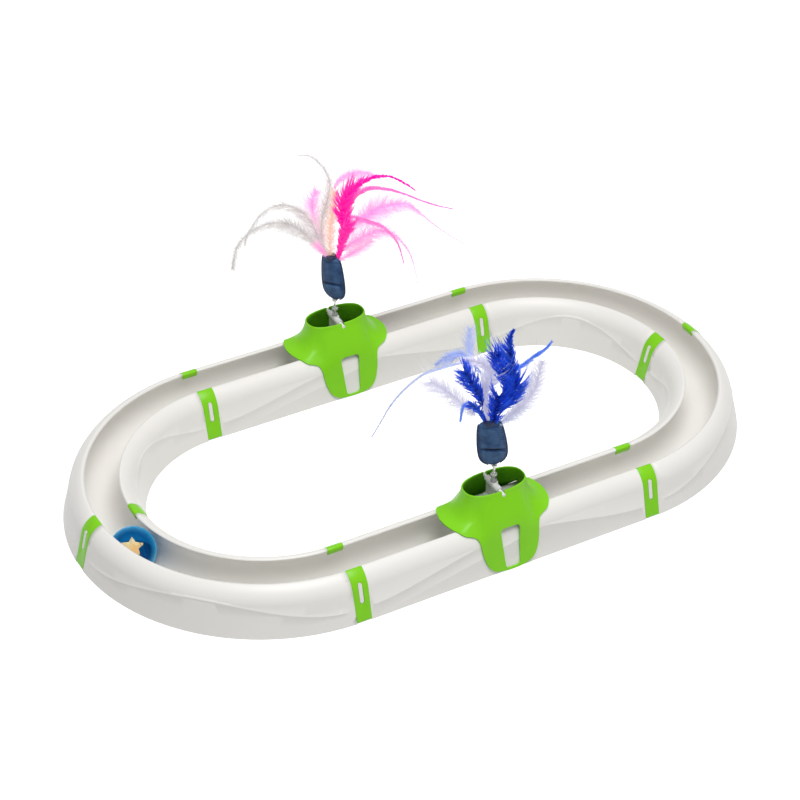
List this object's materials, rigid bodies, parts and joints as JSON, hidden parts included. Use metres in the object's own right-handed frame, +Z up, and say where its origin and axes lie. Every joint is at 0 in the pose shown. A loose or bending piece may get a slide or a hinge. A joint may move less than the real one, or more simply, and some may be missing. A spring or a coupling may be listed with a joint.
{
  "type": "cat ball track toy",
  "caption": "Closed oval channel with a captive ball and covered gates where feather-topped rockers are knocked to and fro by the passing ball.",
  "frame": {"origin": "middle of the loop, on the floor that the track stands on", "axes": "+X along the straight segments towards the right curve, +Y towards the back straight, +Z up"},
  "size_m": [0.6316, 0.3536, 0.2471],
  "materials": {
    "track_plastic": "semi-gloss moulded",
    "green_plastic": "glossy moulded",
    "clear_blue_plastic": "clear tinted",
    "deep_blue_plastic": "glossy",
    "orange_plastic": "printed",
    "white_plastic": "glossy moulded",
    "steel": "plain turned",
    "clear_plastic": "clear moulded",
    "dark_piping": "woven tape",
    "denim": "soft denim",
    "quill_binding": "glued thread",
    "feathers_royal_blue": "dyed feather",
    "feathers_light_blue": "dyed feather",
    "feathers_ivory": "natural feather",
    "feathers_hot_pink": "dyed feather",
    "feathers_pale_pink": "dyed feather",
    "feathers_white": "natural feather"
  },
  "bodies": {
    "base": {"track_straight_front": "track_plastic", "track_straight_back": "track_plastic", "track_curve_back_left": "track_plastic", "track_curve_front_left": "track_plastic", "track_curve_front_right": "track_plastic", "track_curve_back_right": "track_plastic", "clip_outer_back_left": "green_plastic", "clip_outer_back_right": "green_plastic", "clip_outer_right": "green_plastic", "clip_outer_front_right": "green_plastic", "clip_outer_front_left": "green_plastic", "clip_outer_left": "green_plastic", "clip_inner_back_left": "green_plastic", "clip_inner_back_right": "green_plastic", "clip_inner_right": "green_plastic", "clip_inner_front_right": "green_plastic", "clip_inner_front_left": "green_plastic", "clip_inner_left": "green_plastic", "cover_front": "green_plastic", "cover_back": "green_plastic"},
    "swing_front": {"pivot_bar_front": "white_plastic", "paddle_front": "clear_plastic", "paddle_weight_front": "steel", "stem_front": "clear_plastic", "pod_front": "denim", "pod_piping_front": "dark_piping", "quill_binding_front": "quill_binding", "feathers_royal_blue": "feathers_royal_blue", "feathers_light_blue": "feathers_light_blue", "feathers_ivory": "feathers_ivory"},
    "swing_back": {"pivot_bar_back": "white_plastic", "paddle_back": "clear_plastic", "paddle_weight_back": "steel", "stem_back": "clear_plastic", "pod_back": "denim", "pod_piping_back": "dark_piping", "quill_binding_back": "quill_binding", "feathers_hot_pink": "feathers_hot_pink", "feathers_pale_pink": "feathers_pale_pink", "feathers_white": "feathers_white"},
    "ball_core": {"ball_keel": "deep_blue_plastic", "ball_star": "orange_plastic"},
    "ball_shell": {"ball_shell_outer": "clear_blue_plastic", "ball_shell_inner": "clear_blue_plastic"}
  },
  "joints": [
    {"name": "rocker_front", "type": "hinge", "parent": "base", "child": "swing_front", "pos_m": [0, -0.14, 0.0644], "axis": [0, 1, 0], "range_deg": [-30, 30]},
    {"name": "rocker_back", "type": "hinge", "parent": "base", "child": "swing_back", "pos_m": [0, 0.14, 0.0644], "axis": [0, 1, 0], "range_deg": [-30, 30]},
    {"name": "ball_run", "type": "hinge", "parent": "base", "child": "ball_core", "pos_m": [-0.1405, 0, 0.022], "axis": [0, 0, 1], "range_deg": [-99.5, 77.5]},
    {"name": "ball_roll", "type": "hinge", "parent": "ball_core", "child": "ball_shell", "pos_m": [-0.27793, -0.02671, 0.022], "axis": [-0.9816, -0.1908, 0], "continuous": true}
  ],
  "couplings": [
    {"joint": "ball_roll", "follows": "ball_run", "ratio": -7}
  ]
}
